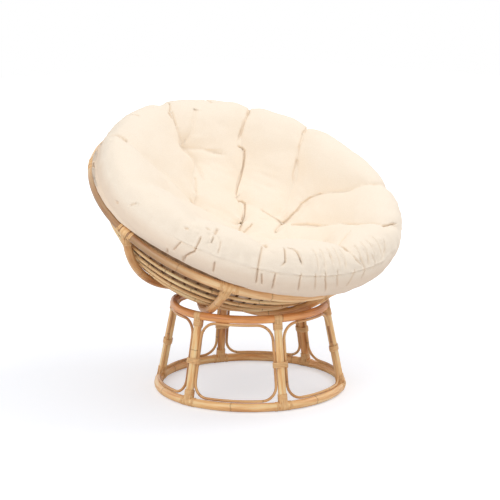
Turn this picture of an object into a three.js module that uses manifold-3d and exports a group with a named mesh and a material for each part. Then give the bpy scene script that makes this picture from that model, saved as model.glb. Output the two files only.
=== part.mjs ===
import * as THREE from "three";
import { mergeVertices } from "three/addons/utils/BufferGeometryUtils.js";
import Module from "manifold-3d";

const wasm = await Module();
wasm.setup();

// A round rattan bowl chair: a drum-shaped base, a bowl of poles that rests
// tilted on the base's top ring, and a thick tufted cushion in the bowl.
// Millimetres, +Z up. The bowl's low side faces -Y.
// Azimuths are counted from -Y towards +X.

// Base
const FOOT_RING = 330;
const FOOT_TUBE = 15;
const HEAD_RING = 271.2;
const HEAD_TUBE = 14;
const RING_RISE = 292.6;
const RING_SIDES = 10;
const BAYS = 6;
const FIRST_UPRIGHT = -23.7;
const UPRIGHT_TUBE = 14;
const LOOP_TUBE = 5;
const LOOP_CORNER = 52;
const GAP = 0.3;
const FOOT_Z = FOOT_TUBE * Math.cos(Math.PI / RING_SIDES);
const HEAD_Z = FOOT_Z + RING_RISE;

// Bowl: everything lies on spheres around one centre above the base
const BOWL_R = 554.3;
const BOWL_TILT = 29;
const RIM_DROP = 212.6;
const RIM_TUBE = 15;
const RIM_RING = Math.sqrt(BOWL_R ** 2 - RIM_DROP ** 2);
const RIB_TUBE = 14.5;
const RIBS = 8;
const FIRST_RIB = -40;
const RIB_START = 4.6;
const RIM_POLAR = THREE.MathUtils.radToDeg(Math.acos(RIM_DROP / BOWL_R));
const HOOP_TUBE = 6;
const HOOPS = 9;
const HOOP_FIRST = 57.3;
const HOOP_STEP = 5.6;
const REACH = BOWL_R + RIB_TUBE + HEAD_TUBE + GAP;
const CENTRE_Z = HEAD_Z + Math.sqrt(REACH ** 2 - HEAD_RING ** 2);

// Wound cane peel over the joints
const PEEL = 2.2;
const WRAP_UPRIGHT = 26;
const WRAP_RIB = 40;
const WRAP_MIDDLE = 24;
const WRAP_HEIGHT = 0.47;

// Cushion, in heights above the rim's plane and radii from the bowl's axis.
// Pairs are the shares towards azimuth 0 and azimuth 90.
// Stations run over its skin: 0 is the dish's middle, 1 the dish's edge and
// 2 the underside of the lip, by the rim.
const LINING_R = 519.5;
const LIP_RING = 480;
const LIP_SHIFT = [38, 27];
const LIP_HALF_WIDTH = 78;
const LIP_HALF_HEIGHT = 90;
const LIP_HEIGHT = 91;
const LIP_SLOPE = [31, 23];
const LIP_FOOT = 518;
const FOOT_BLEND = 30;
const FOOT_OVER_RIM = 18;
const OVER_RIM = 23;
const DISH_MIDDLE = [45, 48];
const DISH_BOTTOM = -36;
const FOLD_SHARE = 0.79;
const FOLD_HEIGHT = 76;
const FOLD_SLOPE = [32, -27];
const PUFF = 34;
const JOIN_FROM = 0.58;
const JOIN_TO = 1.24;

// The folds that part the lobes: depth, station where each begins, and its
// azimuth at each of the fold stations
const FOLD_STATIONS = [0.14, 0.44, 0.75, 1.05, 1.3, 1.6];
const FOLDS = [
  { depth: 24, start: -0.2, azimuths: [-120, -131, -133, -131, -135, -138] },
  { depth: 16, start: 0.35, azimuths: [-90, -118, -104, -97, -96, -95] },
  { depth: 16, start: 0.35, azimuths: [-55, -58, -61, -65, -62, -60] },
  { depth: 24, start: 0.02, azimuths: [-42, -38, -35, -33, -33, -34.6] },
  { depth: 22, start: 0.24, azimuths: [-10, 14, 20, 5, 2.3, 6] },
  { depth: 22, start: 0.33, azimuths: [40, 60, 47, 34, 32, 40] },
  { depth: 22, start: 0.33, azimuths: [73, 73, 80, 67, 64.3, 65] },
  { depth: 23, start: 0.33, azimuths: [90, 82, 96.5, 108, 111, 111.5] },
  { depth: 26, start: -0.2, azimuths: [128, 141, 135.3, 140.3, 138.6, 138] },
  { depth: 23, start: 0.36, azimuths: [195, 209, 177, 182, 182, 181.5] },
];
const FOLD_WIDE = 40;
const FOLD_CLOSE = 15;
const TUFTS = [
  { depth: 16, azimuth: -129, station: 0.43 },
  { depth: 18, azimuth: 72.6, station: 0.442 },
  { depth: 15, azimuth: -42, station: 0.134 },
  { depth: 14, azimuth: -178.2, station: 0.9 },
];
const TUFT_WIDTH = 36;
const LOBE_STEPS = [0, 0.16, 0.38, 0.62, 0.84];
const SKIN_STATIONS = [0.14, 0.29, 0.44, 0.6, 0.75, 0.9, 1.03, 1.14, 1.24, 1.35, 1.46, 1.57, 1.68, 1.79, 1.9, 2];
const LINING_SHARES = [1, 0.84, 0.66, 0.46, 0.24];

const rad = THREE.MathUtils.degToRad;
const peelTone = { color: 0xd8a679, roughness: 0.6, metalness: 0 };
const poleTone = { color: 0xe0ab78, roughness: 0.5, metalness: 0 };
const ringTone = { color: 0xdca06c, roughness: 0.5, metalness: 0 };
const caneTone = { color: 0xc98f5c, roughness: 0.55, metalness: 0 };
const clothTone = { color: 0xfbf0df, roughness: 0.95, metalness: 0 };

function named(name, geometry, tone) {
  const mesh = new THREE.Mesh(geometry, new THREE.MeshStandardMaterial(tone));
  mesh.name = name;
  return mesh;
}

function outward(azimuth, radius, z) {
  const a = rad(azimuth);
  return new THREE.Vector3(radius * Math.sin(a), -radius * Math.cos(a), z);
}

// A ring of polygonal section around Z, with a flat facet below
function ringGeometry(radius, tube, segments, sides) {
  const profile = [];
  for (let i = 0; i <= sides; i++) {
    const t = -Math.PI / 2 + ((i % sides) + 0.5) * ((2 * Math.PI) / sides);
    profile.push(new THREE.Vector2(radius + tube * Math.cos(t), tube * Math.sin(t)));
  }
  return new THREE.LatheGeometry(profile, segments).rotateX(Math.PI / 2);
}

// A short closed sleeve around Z
function sleeveGeometry(inner, outer, length, sides) {
  const half = length / 2;
  const corners = [[outer, -half], [outer, half], [inner, half], [inner, -half], [outer, -half]];
  const profile = corners.map(([x, y]) => new THREE.Vector2(x, y));
  return new THREE.LatheGeometry(profile, sides).rotateX(Math.PI / 2);
}

function roundShape(radius, sides) {
  const points = [];
  for (let i = 0; i < sides; i++) {
    const t = ((i + 0.5) / sides) * 2 * Math.PI;
    points.push(new THREE.Vector2(radius * Math.cos(t), radius * Math.sin(t)));
  }
  return new THREE.Shape(points);
}

function solidOf(geometry) {
  const bare = geometry.clone();
  bare.deleteAttribute("normal");
  bare.deleteAttribute("uv");
  const joined = mergeVertices(bare, 1e-3);
  return new wasm.Manifold(new wasm.Mesh({
    numProp: 3,
    vertProperties: Float32Array.from(joined.attributes.position.array),
    triVerts: Uint32Array.from(joined.index.array),
  }));
}

function geometryOf(solid) {
  const mesh = solid.getMesh();
  const geometry = new THREE.BufferGeometry();
  geometry.setAttribute("position", new THREE.BufferAttribute(mesh.vertProperties, 3));
  geometry.setIndex(new THREE.BufferAttribute(mesh.triVerts, 1));
  geometry.computeVertexNormals();
  return geometry;
}

// Base

const lean = outward(0, HEAD_RING - FOOT_RING, RING_RISE).normalize();
const uprightLength = Math.hypot(FOOT_RING - HEAD_RING, RING_RISE);

// Radius of the cone on which the uprights and the bent canes lie
function coneRadius(z) {
  return FOOT_RING + ((HEAD_RING - FOOT_RING) * (z - FOOT_Z)) / RING_RISE;
}

// Places a piece made around Z on the upright's axis, at a share of its length
function onUpright(mesh, azimuth, share) {
  const stand = new THREE.Group();
  stand.rotation.z = rad(azimuth);
  const z = FOOT_Z + RING_RISE * share;
  mesh.position.copy(outward(0, coneRadius(z), z));
  mesh.quaternion.setFromUnitVectors(new THREE.Vector3(0, 0, 1), lean);
  stand.add(mesh);
  return stand;
}

// An upright is coped to sit on one ring and under the other
function uprightGeometry() {
  const pole = new THREE.CylinderGeometry(UPRIGHT_TUBE, UPRIGHT_TUBE, uprightLength - 8, 12);
  pole.rotateX(Math.PI / 2);
  pole.applyQuaternion(new THREE.Quaternion().setFromUnitVectors(new THREE.Vector3(0, 0, 1), lean));
  const middle = outward(0, coneRadius(FOOT_Z + RING_RISE / 2), FOOT_Z + RING_RISE / 2);
  pole.translate(middle.x, middle.y, middle.z);
  const foot = ringGeometry(FOOT_RING, FOOT_TUBE + 0.5, 60, RING_SIDES);
  foot.translate(0, 0, FOOT_Z);
  const head = ringGeometry(HEAD_RING, HEAD_TUBE + 0.5, 60, RING_SIDES);
  head.translate(0, 0, HEAD_Z);
  return geometryOf(solidOf(pole).subtract(solidOf(foot)).subtract(solidOf(head)));
}

// A thin cane bent into a rounded frame that fills one bay of the base
function loopGeometry() {
  const low = FOOT_Z + FOOT_TUBE + LOOP_TUBE + GAP;
  const high = HEAD_Z - HEAD_TUBE - LOOP_TUBE - GAP;
  const beside = UPRIGHT_TUBE + LOOP_TUBE + 1.2;
  const points = [];
  // share 1 lies beside the next upright, -1 beside the last one
  const add = (inset, signX, z) => {
    const r = coneRadius(z);
    const along = signX * (r * rad(180 / BAYS) - beside - inset);
    points.push(outward(THREE.MathUtils.radToDeg(along / r), r, z));
  };
  const bend = (signX, signZ, from) => {
    for (let i = 0; i <= 4; i++) {
      const turn = rad(from + (i * 90) / 4);
      const inset = LOOP_CORNER * (1 - Math.abs(Math.cos(turn)));
      const rise = LOOP_CORNER * (1 - Math.abs(Math.sin(turn)));
      add(inset, signX, signZ > 0 ? high - rise : low + rise);
    }
  };
  const run = (z) => {
    const order = z === high ? 1 : -1;
    const reach = coneRadius(z) * rad(180 / BAYS) - beside;
    for (const share of [0.33, 0, -0.33]) add(reach * (1 - Math.abs(share)), order * Math.sign(share), z);
  };
  const side = (signX) => {
    const rise = high - low - 2 * LOOP_CORNER;
    for (const share of [0.25, 0.5, 0.75]) {
      add(0, signX, signX < 0 ? high - LOOP_CORNER - rise * share : low + LOOP_CORNER + rise * share);
    }
  };
  bend(1, 1, 0);
  run(high);
  bend(-1, 1, 90);
  side(-1);
  bend(-1, -1, 180);
  run(low);
  bend(1, -1, 270);
  side(1);
  const path = new THREE.CatmullRomCurve3(points, true, "centripetal");
  return new THREE.TubeGeometry(path, 44, LOOP_TUBE, 6, true);
}

// An oval band around an upright and the two bent canes beside it
function middleWrapGeometry() {
  const width = UPRIGHT_TUBE + 2 * LOOP_TUBE + 2;
  const depth = UPRIGHT_TUBE + 1.2;
  const oval = (grow) => {
    const points = [];
    for (let i = 0; i < 16; i++) {
      const t = (i / 16) * 2 * Math.PI;
      points.push(new THREE.Vector2((width + grow) * Math.cos(t), (depth + grow) * Math.sin(t)));
    }
    return points;
  };
  const shape = new THREE.Shape(oval(PEEL + 0.4));
  shape.holes.push(new THREE.Path(oval(0.4)));
  const options = { depth: WRAP_MIDDLE, bevelEnabled: false, steps: 1 };
  return new THREE.ExtrudeGeometry(shape, options).translate(0, 0, -WRAP_MIDDLE / 2);
}

function buildBase() {
  const base = new THREE.Group();
  const foot = named("base_bottom_ring", ringGeometry(FOOT_RING, FOOT_TUBE, 60, RING_SIDES), ringTone);
  foot.position.z = FOOT_Z;
  const head = named("base_top_ring", ringGeometry(HEAD_RING, HEAD_TUBE, 60, RING_SIDES), ringTone);
  head.position.z = HEAD_Z;
  base.add(foot, head);
  const pole = uprightGeometry();
  const loop = loopGeometry();
  const middle = middleWrapGeometry();
  const collar = sleeveGeometry(UPRIGHT_TUBE + 0.5, UPRIGHT_TUBE + 0.5 + PEEL, WRAP_UPRIGHT, 12);
  const footShare = (FOOT_TUBE + 2 + WRAP_UPRIGHT / 2) / uprightLength;
  const headShare = 1 - (HEAD_TUBE + 2 + WRAP_UPRIGHT / 2) / uprightLength;
  for (let k = 0; k < BAYS; k++) {
    const azimuth = FIRST_UPRIGHT + (k * 360) / BAYS;
    const upright = named(`upright_${k + 1}`, pole, poleTone);
    upright.rotation.z = rad(azimuth);
    const bent = named(`bay_loop_${k + 1}`, loop, caneTone);
    bent.rotation.z = rad(azimuth + 180 / BAYS);
    base.add(upright, bent);
    base.add(onUpright(named(`foot_wrap_${k + 1}`, collar, peelTone), azimuth, footShare));
    base.add(onUpright(named(`middle_wrap_${k + 1}`, middle, peelTone), azimuth, WRAP_HEIGHT));
    base.add(onUpright(named(`head_wrap_${k + 1}`, collar, peelTone), azimuth, headShare));
  }
  return base;
}

// Bowl, made upright around the centre of its sphere

function ribArc(fromPolar, toPolar) {
  const points = [];
  for (let i = 0; i <= 12; i++) {
    const p = rad(fromPolar + ((toPolar - fromPolar) * i) / 12);
    points.push(new THREE.Vector3(BOWL_R * Math.sin(p), 0, -BOWL_R * Math.cos(p)));
  }
  return new THREE.CatmullRomCurve3(points);
}

function buildBowl() {
  const bowl = new THREE.Group();
  const rim = named("rim", ringGeometry(RIM_RING, RIM_TUBE, 72, RING_SIDES), poleTone);
  rim.position.z = -RIM_DROP;
  bowl.add(rim);
  const rimEdge = RIM_POLAR - THREE.MathUtils.radToDeg((RIM_TUBE + 0.6) / BOWL_R);
  const wrapSpan = THREE.MathUtils.radToDeg(WRAP_RIB / BOWL_R);
  const ribPath = { steps: 12, bevelEnabled: false, extrudePath: ribArc(RIB_START, rimEdge) };
  const rib = new THREE.ExtrudeGeometry(roundShape(RIB_TUBE, 8), ribPath);
  const bandShape = roundShape(RIB_TUBE + 1 + PEEL, 8);
  bandShape.holes.push(new THREE.Path(roundShape(RIB_TUBE + 1, 8).getPoints()));
  const bandArc = ribArc(rimEdge - wrapSpan - 0.3, rimEdge - 0.3);
  const band = new THREE.ExtrudeGeometry(bandShape, { steps: 2, bevelEnabled: false, extrudePath: bandArc });
  for (let k = 0; k < RIBS; k++) {
    const turn = rad(FIRST_RIB + (k * 360) / RIBS - 90);
    const ribMesh = named(`rib_${k + 1}`, rib, poleTone);
    ribMesh.rotation.z = turn;
    const bandMesh = named(`rib_wrap_${k + 1}`, band, peelTone);
    bandMesh.rotation.z = turn;
    bowl.add(ribMesh, bandMesh);
  }
  const hoopR = BOWL_R - RIB_TUBE - HOOP_TUBE - GAP;
  for (let k = 0; k < HOOPS; k++) {
    const polar = rad(HOOP_FIRST - k * HOOP_STEP);
    const segments = 16 + 4 * (HOOPS - 1 - k);
    const hoop = named(`hoop_${k + 1}`, ringGeometry(hoopR * Math.sin(polar), HOOP_TUBE, segments, 6), caneTone);
    hoop.position.z = -hoopR * Math.cos(polar);
    bowl.add(hoop);
  }
  return bowl;
}

// Cushion, in the bowl's own frame

function slope(pair, azimuth) {
  return pair[0] * Math.cos(rad(azimuth)) + pair[1] * Math.sin(rad(azimuth));
}

// 0 below 0, 1 above 1, and a soft curve between
function easy(value) {
  const t = Math.min(1, Math.max(0, value));
  return t * t * (3 - 2 * t);
}

function dishForm(azimuth, share) {
  const middle = new THREE.Vector3(DISH_MIDDLE[1], -DISH_MIDDLE[0], 0);
  const ring = LIP_RING + slope(LIP_SHIFT, azimuth);
  const point = middle.lerp(outward(azimuth, ring * FOLD_SHARE, 0), share);
  const fold = FOLD_HEIGHT + slope(FOLD_SLOPE, azimuth);
  point.z = DISH_BOTTOM + (fold - DISH_BOTTOM) * share ** 2 + PUFF * share;
  return point;
}

// The lip's section: way 0 faces the dish, 1 is underneath. Where it would end
// short of the rim, it is filled out to lie on it.
function lipForm(azimuth, way) {
  const section = rad(158 - 218 * way);
  const ring = LIP_RING + slope(LIP_SHIFT, azimuth);
  const height = LIP_HEIGHT + slope(LIP_SLOPE, azimuth);
  const high = section > 0 ? LIP_HALF_HEIGHT : height - OVER_RIM;
  let r = ring + LIP_HALF_WIDTH * Math.cos(section);
  let z = height + high * Math.sin(section);
  if (section < 0) {
    const widest = ring + LIP_HALF_WIDTH;
    const full = easy((LIP_FOOT - ring - LIP_HALF_WIDTH / 2) / FOOT_BLEND);
    const down = -section * 1.5;
    r += full * (widest + (LIP_FOOT - widest) * (1 - Math.cos(down)) ** 1.4 - r);
    z += full * (height - (height - FOOT_OVER_RIM) * Math.sin(down) - z);
  }
  return outward(azimuth, r, z);
}

// The skin without its folds: the dish runs into the lip in one easy curve
function fullPoint(azimuth, station) {
  if (station <= JOIN_FROM) return dishForm(azimuth, station);
  if (station >= JOIN_TO) return lipForm(azimuth, station - 1);
  const start = dishForm(azimuth, JOIN_FROM);
  const end = lipForm(azimuth, JOIN_TO - 1);
  const span = start.distanceTo(end);
  const out = dishForm(azimuth, JOIN_FROM + 0.01).sub(start).setLength(span);
  const on = lipForm(azimuth, JOIN_TO - 0.99).sub(end).setLength(span);
  const t = (station - JOIN_FROM) / (JOIN_TO - JOIN_FROM);
  const point = start.multiplyScalar((1 + 2 * t) * (1 - t) ** 2);
  point.addScaledVector(out, t * (1 - t) ** 2);
  point.addScaledVector(end, t * t * (3 - 2 * t));
  return point.addScaledVector(on, -t * t * (1 - t));
}

// The way out of the skin at a point of it
function wayOut(azimuth, station) {
  const s = Math.min(Math.max(station, 0.02), 1.98);
  const around = fullPoint(azimuth + 0.5, s).sub(fullPoint(azimuth - 0.5, s));
  const along = fullPoint(azimuth, s + 0.01).sub(fullPoint(azimuth, s - 0.01));
  return along.cross(around).normalize();
}

function foldAzimuth(fold, station) {
  const last = FOLD_STATIONS.length - 1;
  const s = Math.min(Math.max(station, FOLD_STATIONS[0]), FOLD_STATIONS[last]);
  let i = 0;
  while (i < last - 1 && s >= FOLD_STATIONS[i + 1]) i++;
  const t = easy((s - FOLD_STATIONS[i]) / (FOLD_STATIONS[i + 1] - FOLD_STATIONS[i]));
  return fold.azimuths[i] + (fold.azimuths[i + 1] - fold.azimuths[i]) * t;
}

// How far the folds and the sewn tufts draw the skin in
function drawnIn(azimuth, station) {
  const at = fullPoint(azimuth, station);
  const outside = (1 - 0.5 * easy((station - 1.3) / 0.2)) * (1 - easy((station - 1.48) / 0.2));
  let drawn = 0;
  for (const fold of FOLDS) {
    const turn = ((azimuth - foldAzimuth(fold, station) + 900) % 360) - 180;
    const off = Math.abs(rad(turn)) * Math.hypot(at.x, at.y);
    const across = 0.6 * Math.exp(-((off / FOLD_WIDE) ** 2)) + 0.4 * Math.exp(-off / FOLD_CLOSE);
    drawn = Math.max(drawn, fold.depth * across * outside * easy((station - fold.start) / 0.16));
  }
  for (const tuft of TUFTS) {
    const away = at.distanceTo(fullPoint(tuft.azimuth, tuft.station));
    drawn += tuft.depth * Math.exp(-((away / TUFT_WIDTH) ** 2));
  }
  return drawn;
}

function skinPoint(azimuth, station) {
  return fullPoint(azimuth, station).addScaledVector(wayOut(azimuth, station), -drawnIn(azimuth, station));
}

function liningPoint(azimuth, polar) {
  const p = rad(polar);
  return outward(azimuth, LINING_R * Math.sin(p), RIM_DROP - LINING_R * Math.cos(p));
}

// Azimuth of a step round a station. Steps lie closer beside the folds.
function stepAzimuth(step, station) {
  const lobe = Math.floor(step / LOBE_STEPS.length);
  const from = foldAzimuth(FOLDS[lobe], station);
  const wrapped = lobe + 1 === FOLDS.length;
  const to = wrapped ? foldAzimuth(FOLDS[0], station) + 360 : foldAzimuth(FOLDS[lobe + 1], station);
  return from + (to - from) * LOBE_STEPS[step % LOBE_STEPS.length];
}

function cushionGeometry() {
  const steps = FOLDS.length * LOBE_STEPS.length;
  const rimPolar = THREE.MathUtils.radToDeg(Math.acos((RIM_DROP - OVER_RIM) / LINING_R));
  const points = [skinPoint(0, 0)];
  for (const station of SKIN_STATIONS) {
    for (let j = 0; j < steps; j++) points.push(skinPoint(stepAzimuth(j, station), station));
  }
  for (const share of LINING_SHARES) {
    for (let j = 0; j < steps; j++) points.push(liningPoint(stepAzimuth(j, 2), rimPolar * share));
  }
  points.push(liningPoint(0, 0));
  const rings = SKIN_STATIONS.length + LINING_SHARES.length;
  const index = [];
  const at = (i, j) => 1 + i * steps + (j % steps);
  for (let j = 0; j < steps; j++) {
    index.push(0, at(0, j), at(0, j + 1));
    index.push(points.length - 1, at(rings - 1, j + 1), at(rings - 1, j));
    for (let i = 0; i + 1 < rings; i++) {
      index.push(at(i, j), at(i + 1, j), at(i + 1, j + 1));
      index.push(at(i, j), at(i + 1, j + 1), at(i, j + 1));
    }
  }
  const geometry = new THREE.BufferGeometry().setFromPoints(points);
  geometry.setIndex(index);
  geometry.computeVertexNormals();
  return geometry.translate(0, 0, -RIM_DROP);
}

const chair = new THREE.Group();
const tilted = new THREE.Group();
tilted.position.z = CENTRE_Z;
tilted.rotation.x = rad(BOWL_TILT);
tilted.add(buildBowl(), named("cushion", cushionGeometry(), clothTone));
chair.add(buildBase(), tilted);

// The row's origin is under the middle of the whole chair's bounding box
const extent = new THREE.Box3().setFromObject(chair, true);
const middle = extent.getCenter(new THREE.Vector3());
chair.position.set(-middle.x, -middle.y, 0);

export default chair;
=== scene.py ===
import math

import bmesh
import bpy
import numpy as np
from mathutils import Matrix, Vector, noise


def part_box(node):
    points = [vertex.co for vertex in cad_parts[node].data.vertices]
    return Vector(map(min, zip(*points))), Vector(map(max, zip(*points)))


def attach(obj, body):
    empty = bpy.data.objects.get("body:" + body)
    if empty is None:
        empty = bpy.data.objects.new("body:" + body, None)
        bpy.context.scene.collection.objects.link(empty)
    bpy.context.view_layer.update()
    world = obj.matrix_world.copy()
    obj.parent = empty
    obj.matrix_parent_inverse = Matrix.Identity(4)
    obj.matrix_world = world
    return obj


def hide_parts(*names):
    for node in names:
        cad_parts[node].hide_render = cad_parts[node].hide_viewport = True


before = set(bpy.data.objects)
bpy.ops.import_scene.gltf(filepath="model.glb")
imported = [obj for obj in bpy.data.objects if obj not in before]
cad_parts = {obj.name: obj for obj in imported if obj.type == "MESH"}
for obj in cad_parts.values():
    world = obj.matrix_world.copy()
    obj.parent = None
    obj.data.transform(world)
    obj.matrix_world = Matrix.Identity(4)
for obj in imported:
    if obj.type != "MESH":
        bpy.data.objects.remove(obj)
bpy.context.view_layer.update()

# Metres. Azimuths are counted in degrees from -Y towards +X, in the bowl too.
# GAP is the room left between two poles that touch.
GAP = 0.0003
FOOT_RING, FOOT_TUBE = 0.330, 0.015
HEAD_RING, HEAD_TUBE = 0.2712, 0.014
FOOT_Z = FOOT_TUBE * math.cos(math.radians(18))
RING_RISE = 0.2926
HEAD_Z = FOOT_Z + RING_RISE
BAYS, FIRST_UPRIGHT = 6, -23.7
UPRIGHT_TUBE, LOOP_TUBE, LOOP_CORNER = 0.014, 0.005, 0.052
BOWL_R, BOWL_TILT = 0.5543, 29
RIM_DROP, RIM_TUBE = 0.2126, 0.015
RIM_RING = math.sqrt(BOWL_R ** 2 - RIM_DROP ** 2)
RIM_POLAR = math.degrees(math.acos(RIM_DROP / BOWL_R))
RIB_TUBE, RIBS, FIRST_RIB = 0.0145, 8, -40
HOOP_TUBE, HOOPS, HOOP_FIRST, HOOP_STEP = 0.006, 9, 57.3, 5.6
HOOP_R = BOWL_R - RIB_TUBE - HOOP_TUBE - GAP
SPLINT_TUBE, SPLINT_HALF_WIDTH, SPLINTS = 0.0024, 0.0048, 60
CENTRE_Z = HEAD_Z + math.sqrt((BOWL_R + RIB_TUBE + HEAD_TUBE + GAP) ** 2 - HEAD_RING ** 2)

ring_low, ring_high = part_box("base_bottom_ring")
ring_middle = (ring_low + ring_high) / 2
on_base = Matrix.Translation((ring_middle.x, ring_middle.y, 0))
in_bowl = on_base @ Matrix.Translation((0, 0, CENTRE_Z)) @ Matrix.Rotation(math.radians(BOWL_TILT), 4, "X")


def outward(azimuth, radius, z=0.0):
    a = math.radians(azimuth)
    return Vector((radius * math.sin(a), -radius * math.cos(a), z))


def turned(azimuth):
    """Carries a piece made at azimuth 0 round to its own azimuth."""
    return Matrix.Rotation(math.radians(azimuth), 4, "Z")


def axes_at(at, x, y, z):
    """The place at a point whose own axes are these."""
    m = Matrix((x, y, z)).transposed().to_4x4()
    m.translation = at
    return m


def new_object(name, data):
    thing = bpy.data.objects.new(name, data)
    bpy.context.scene.collection.objects.link(thing)
    return thing


def new_mesh(name, bm):
    mesh = bpy.data.meshes.new(name)
    bm.to_mesh(mesh)
    bm.free()
    return mesh


def stand(name, data, at, look):
    """Puts up a camera or a lamp that looks along a direction."""
    thing = new_object(name, data)
    thing.location = at
    thing.rotation_mode = "QUATERNION"
    thing.rotation_quaternion = look.to_track_quat("-Z", "Y")
    return thing


# Camera

# The photograph's view: degrees round to the camera and up to it, and how far it looks down
VIEW_ROUND, VIEW_UP, VIEW_DIP = 43.718, 16.0944, 11.1184
VIEW_DISTANCE, FOCAL_PIXELS, PHOTO_PIXELS, SENSOR = 5.44054, 1501.04, 500, 36


def pointing(across, dip):
    """A direction that runs away from the camera, dip below level."""
    return Vector((math.sin(across) * math.cos(dip), math.cos(across) * math.cos(dip), -math.sin(dip)))


def place_camera():
    across = math.radians(VIEW_ROUND)
    data = bpy.data.cameras.new("camera")
    data.sensor_width = SENSOR
    data.lens = FOCAL_PIXELS * SENSOR / PHOTO_PIXELS
    middle = Vector((ring_middle.x, ring_middle.y, FOOT_Z))
    at = middle - pointing(across, math.radians(VIEW_UP)) * VIEW_DISTANCE
    bpy.context.scene.camera = stand("camera", data, at, pointing(across, math.radians(VIEW_DIP)))


# Materials

SEAM_STATION = 1.632


class Nodes:
    """The node tree of a material or the world, with short calls to add and join nodes."""

    def __init__(self, name, kept_in=bpy.data.materials, shader="Principled BSDF"):
        self.owner = kept_in.new(name)
        self.owner.use_nodes = True
        self.tree = self.owner.node_tree
        self.shader = self.tree.nodes[shader]

    def add(self, kind, settings=(), **inputs):
        node = self.tree.nodes.new("ShaderNode" + kind)
        for key, value in dict(settings).items():
            setattr(node, key, value)
        for key, value in inputs.items():
            self.put(node, key.replace("_", " "), value)
        return node

    def put(self, node, socket, value):
        target = node.inputs[socket] if isinstance(socket, str) else node.inputs[int(socket)]
        if isinstance(value, bpy.types.NodeSocket):
            self.tree.links.new(value, target)
        else:
            target.default_value = value

    def math(self, operation, a, b=0.0, c=0.0):
        node = self.add("Math", {"operation": operation})
        for i, value in enumerate((a, b, c)):
            self.put(node, i, value)
        return node.outputs[0]

    def ramp(self, value, stops):
        node = self.add("ValToRGB", Fac=value)
        band = node.color_ramp
        while len(band.elements) < len(stops):
            band.elements.new(0.5)
        for element, (at, tone) in zip(band.elements, stops):
            element.position = at
            element.color = tone
        return node.outputs["Color"]

    def mix(self, share, a, b, blend="MIX"):
        node = self.add("Mix", {"data_type": "RGBA", "blend_type": blend})
        for i, value in ((0, share), (6, a), (7, b)):
            self.put(node, i, value)
        return node.outputs[2]

    def grain_map(self):
        return self.add("UVMap", {"uv_map": "grain"}).outputs["UV"]

    def object_place(self):
        return self.add("TexCoord").outputs["Object"]

    def attribute(self, name):
        return self.add("Attribute", {"attribute_name": name}).outputs["Fac"]

    def stretched(self, where, scale):
        node = self.add("Mapping", Vector=where)
        node.inputs["Scale"].default_value = scale
        return node.outputs[0]

    def noise(self, where, scale, detail, roughness):
        node = self.add("TexNoise", Vector=where, Scale=scale, Detail=detail, Roughness=roughness)
        return node.outputs["Fac"]

    def graded(self, value, start, end, low, high):
        """Low at start, high at end, and even between."""
        node = self.add("MapRange", Value=value, From_Min=start, From_Max=end, To_Min=low, To_Max=high)
        return node.outputs["Result"]

    def closeness(self, distance, reach):
        """1 where the distance is 0, down to 0 at the reach."""
        share = self.math("MINIMUM", self.math("MULTIPLY", distance, 1 / reach), 1.0)
        return self.math("SUBTRACT", 1.0, share)

    def surface(self, **inputs):
        """Joins or sets the shader's own sockets, and gives the finished material or world."""
        for key, value in inputs.items():
            self.put(self.shader, key.replace("_", " "), value)
        return self.owner

    def bump(self, height, distance, strength=1.0, under=None):
        node = self.add("Bump", Height=height, Distance=distance, Strength=strength)
        if under is not None:
            self.put(node, "Normal", under)
        return node.outputs["Normal"]


def tone(r, g, b):
    """A colour written as it looks on screen, 0 to 255."""
    linear = [(c / 255 / 12.92) if c <= 10 else ((c / 255 + 0.055) / 1.055) ** 2.4 for c in (r, g, b)]
    return (*linear, 1.0)


def shade(colour, share):
    return (*[c * share for c in colour[:3]], 1.0)


WHITE, BLACK = (1, 1, 1, 1), (0, 0, 0, 1)
KNOT_LINE, KNOT_SWELL, KNOT_DRIFT = 0.0035, 0.014, 0.012
# painted shade on a pole's side away from the window: where it begins and where it is full, in object x
SHADE_FROM, SHADE_FULL = -0.40, -0.53


def rattan(name, pale, mid, dark, knot_every=0.29, roughness=0.38, shaded_side=False):
    """Lacquered rattan pole: long fibres, slow blotches and a ring at each knot.

    The UV map runs in metres, x along the pole and y round it.
    """
    n = Nodes(name)
    grain_map = n.grain_map()
    where = n.object_place()
    fibre = n.noise(n.stretched(grain_map, (9, 420, 1)), 1.0, 4.0, 0.65)
    streak = n.noise(n.stretched(grain_map, (5, 60, 1)), 1.0, 3.0, 0.6)
    blotch = n.noise(where, 11.0, 3.0, 0.6)
    colour = n.ramp(streak, [(0.35, dark), (0.50, mid), (0.66, pale)])
    colour = n.mix(0.35, colour, n.ramp(fibre, [(0.30, (0.80, 0.74, 0.66, 1)), (0.56, WHITE)]), "MULTIPLY")
    colour = n.mix(0.55, colour, n.ramp(blotch, [(0.34, (0.86, 0.80, 0.72, 1)), (0.62, WHITE)]), "MULTIPLY")
    if shaded_side:
        # painted shade: the pole is painted browner on the side away from the window
        across = n.add("SeparateXYZ", Vector=where).outputs[0]
        share = n.graded(across, SHADE_FROM, SHADE_FULL, 0.0, 1.0)
        colour = n.mix(share, colour, (0.47, 0.39, 0.34, 1), "MULTIPLY")
    # a knot's ring is a thin dark line with a slight step either side
    along = n.add("SeparateXYZ", Vector=grain_map).outputs[0]
    cycle = n.math("PINGPONG", n.math("MULTIPLY_ADD", streak, KNOT_DRIFT, along), knot_every / 2)
    line, swell = n.closeness(cycle, KNOT_LINE), n.closeness(cycle, KNOT_SWELL)
    colour = n.mix(n.math("MULTIPLY", line, 0.6), colour, shade(dark, 0.45))
    rough = n.math("MULTIPLY_ADD", fibre, 0.22, roughness - 0.11)
    step = n.math("SUBTRACT", swell, n.math("MULTIPLY", line, 1.5))
    relief = n.bump(step, 0.0009, 0.8, n.bump(fibre, 0.0006, 0.5))
    return n.surface(Base_Color=colour, Roughness=rough, Normal=relief, Coat_Weight=0.32, Coat_Roughness=0.24)


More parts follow.
